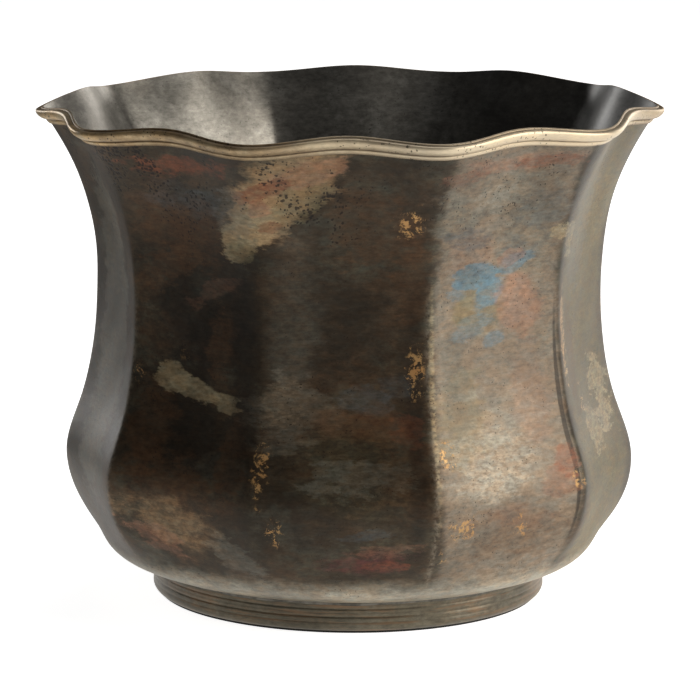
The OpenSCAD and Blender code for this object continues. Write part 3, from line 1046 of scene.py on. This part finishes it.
def pad_material():
    """Black felt-like pad: two blacks and a fine nap in the bump."""
    material, tree, shader, position = new_material("black_pad")
    nap = noise(tree, position, 900.0, 4.0, 0.7)
    colour = mix_colour(tree, nap, PAD_DARK, PAD_LIGHT)
    rough = scaled(tree, nap, 0.15, 0.8)
    set_shader(tree, shader, colour, rough, bump(tree, nap, 0.6, 0.4 * MM), 0.0)
    return material


# ---------------------------------------------------------------- the pot

inside = inside_material()
rubbed = rim_material()
body = make_body()
finish_piece(body, "body_wall", "aged_brass", wall_material(), inside, rubbed)
choose_materials(body)
finish_piece(make_rim(), "rim_band", "rubbed_brass", rubbed)
finish_piece(make_wire(), "rim_wire", "rim_wire",
             plain_metal("drawn_wire", (0.25, 0.25, 0.24), (0.45, 0.44, 0.42), 1.0, 300.0))
finish_piece(make_base(), "base_disc", "aged_brass", inside)
finish_piece(make_solder(), "foot_solder", "solder",
             plain_metal("dull_solder", (0.07, 0.065, 0.055), (0.16, 0.15, 0.13), 0.7, 200.0))
finish_piece(make_foot(), "foot_ring", "aged_brass", foot_material())
finish_piece(make_pad(), "foot_pad", "pad", pad_material())


# ---------------------------------------------------------------- floor, light and camera

# The table's radius and the number of its sides, its two whites, and the light that it gives of itself
FLOOR_R = 30
FLOOR_SIDES = 96
FLOOR_WHITE = (0.90, 0.90, 0.90)
FLOOR_WHITER = (0.92, 0.92, 0.92)
FLOOR_GLOW = 0.9
BOUNCE = (0.78, 0.77, 0.74)
# The metal mirrors a lit table of this radius, and beyond it a dark studio, except on the right
TABLE_R = 0.30
TABLE_FADE = 2.2
LIT_RIGHT = 0.35
DARK_STUDIO = (0.075, 0.070, 0.062)
AIR_LIGHT = 0.045
POT_MIDDLE = (0, 0, 0.12)

CAMERA_DISTANCE = 2.0
CAMERA_HEIGHT = 0.4913
CAMERA_PITCH = 10.52
CAMERA_TURN = 0.75
CAMERA_ROLL = 0.477
LENS = 211.7


def make_floor():
    """Pale floor: a wide disc that stands still under the pot. In reflections it darkens away from
    the pot, and the camera sees it plain white."""
    a = np.arange(FLOOR_SIDES) * 2 * math.pi / FLOOR_SIDES
    ring = np.stack([FLOOR_R * np.sin(a), FLOOR_R * np.cos(a), 0 * a], axis=-1)
    floor = mesh_piece("floor", ring.tolist(), [list(range(FLOOR_SIDES - 1, -1, -1))])
    material, tree, shader, position = new_material("pale_floor")
    pale = mix_colour(tree, noise(tree, position, 3.0, 2.0), FLOOR_WHITE, FLOOR_WHITER)
    path = tree.nodes.new("ShaderNodeLightPath").outputs
    beyond = window(tree, vector_node(tree, "LENGTH", position), TABLE_R, TABLE_FADE * TABLE_R)
    unlit = times(tree, beyond, window(tree, part_of(tree, position, "X"), LIT_RIGHT, 0.0))
    dim = times(tree, path["Is Glossy Ray"], unlit)
    glow = mix_colour(tree, path["Is Camera Ray"], BOUNCE, (1, 1, 1))
    tree.links.new(mix_colour(tree, dim, pale, DARK_STUDIO), shader.inputs["Base Color"])
    tree.links.new(mix_colour(tree, dim, glow, DARK_STUDIO), shader.inputs["Emission Color"])
    shader.inputs["Roughness"].default_value = 0.9
    shader.inputs["Emission Strength"].default_value = FLOOR_GLOW
    shader.inputs["Specular IOR Level"].default_value = 0.1
    floor.data.materials.append(material)


def softbox(name, at, look, size, power, colour=(1, 1, 1)):
    """Rectangular studio light at a place, turned to a point."""
    data = bpy.data.lights.new(name, "AREA")
    data.shape = "RECTANGLE"
    data.size, data.size_y = size
    data.energy = power
    data.color = colour
    light = bpy.data.objects.new(name, data)
    light.location = at
    light.rotation_euler = (Vector(look) - Vector(at)).to_track_quat("-Z", "Y").to_euler()
    bpy.context.scene.collection.objects.link(light)


def make_world():
    """Pale studio air, even all round."""
    world = bpy.data.worlds.new("studio")
    world.use_nodes = True
    background = world.node_tree.nodes["Background"]
    background.inputs["Color"].default_value = (1, 1, 1, 1)
    background.inputs["Strength"].default_value = AIR_LIGHT
    bpy.context.scene.world = world


def make_camera():
    """Camera before the pot, a little above the rim, looking down into it."""
    data = bpy.data.cameras.new("camera")
    data.lens = LENS
    data.sensor_width = 36
    data.clip_end = 100
    camera = bpy.data.objects.new("camera", data)
    turn = math.radians(CAMERA_TURN)
    camera.location = (CAMERA_DISTANCE * math.sin(turn), -CAMERA_DISTANCE * math.cos(turn), CAMERA_HEIGHT)
    aim = Euler((math.radians(90 - CAMERA_PITCH), 0, turn)).to_matrix()
    roll = Matrix.Rotation(math.radians(CAMERA_ROLL), 3, "Z")
    camera.rotation_euler = (aim @ roll).to_euler()
    bpy.context.scene.collection.objects.link(camera)
    bpy.context.scene.camera = camera


make_floor()
make_world()
softbox("right_light", (1.8, -0.55, 0.70), POT_MIDDLE, (1.2, 1.9), 36, (1, 0.95, 0.87))
softbox("back_right_light", (1.3, 1.9, 0.55), POT_MIDDLE, (1.2, 1.0), 13, (1, 0.95, 0.88))
softbox("back_left_light", (-1.5, 1.9, 0.5), POT_MIDDLE, (0.7, 0.9), 10)
softbox("top_light", (0.3, 0.6, 2.4), (0, 0, 0), (1.2, 1.2), 12)
make_camera()

bpy.context.scene.view_settings.view_transform = "Standard"
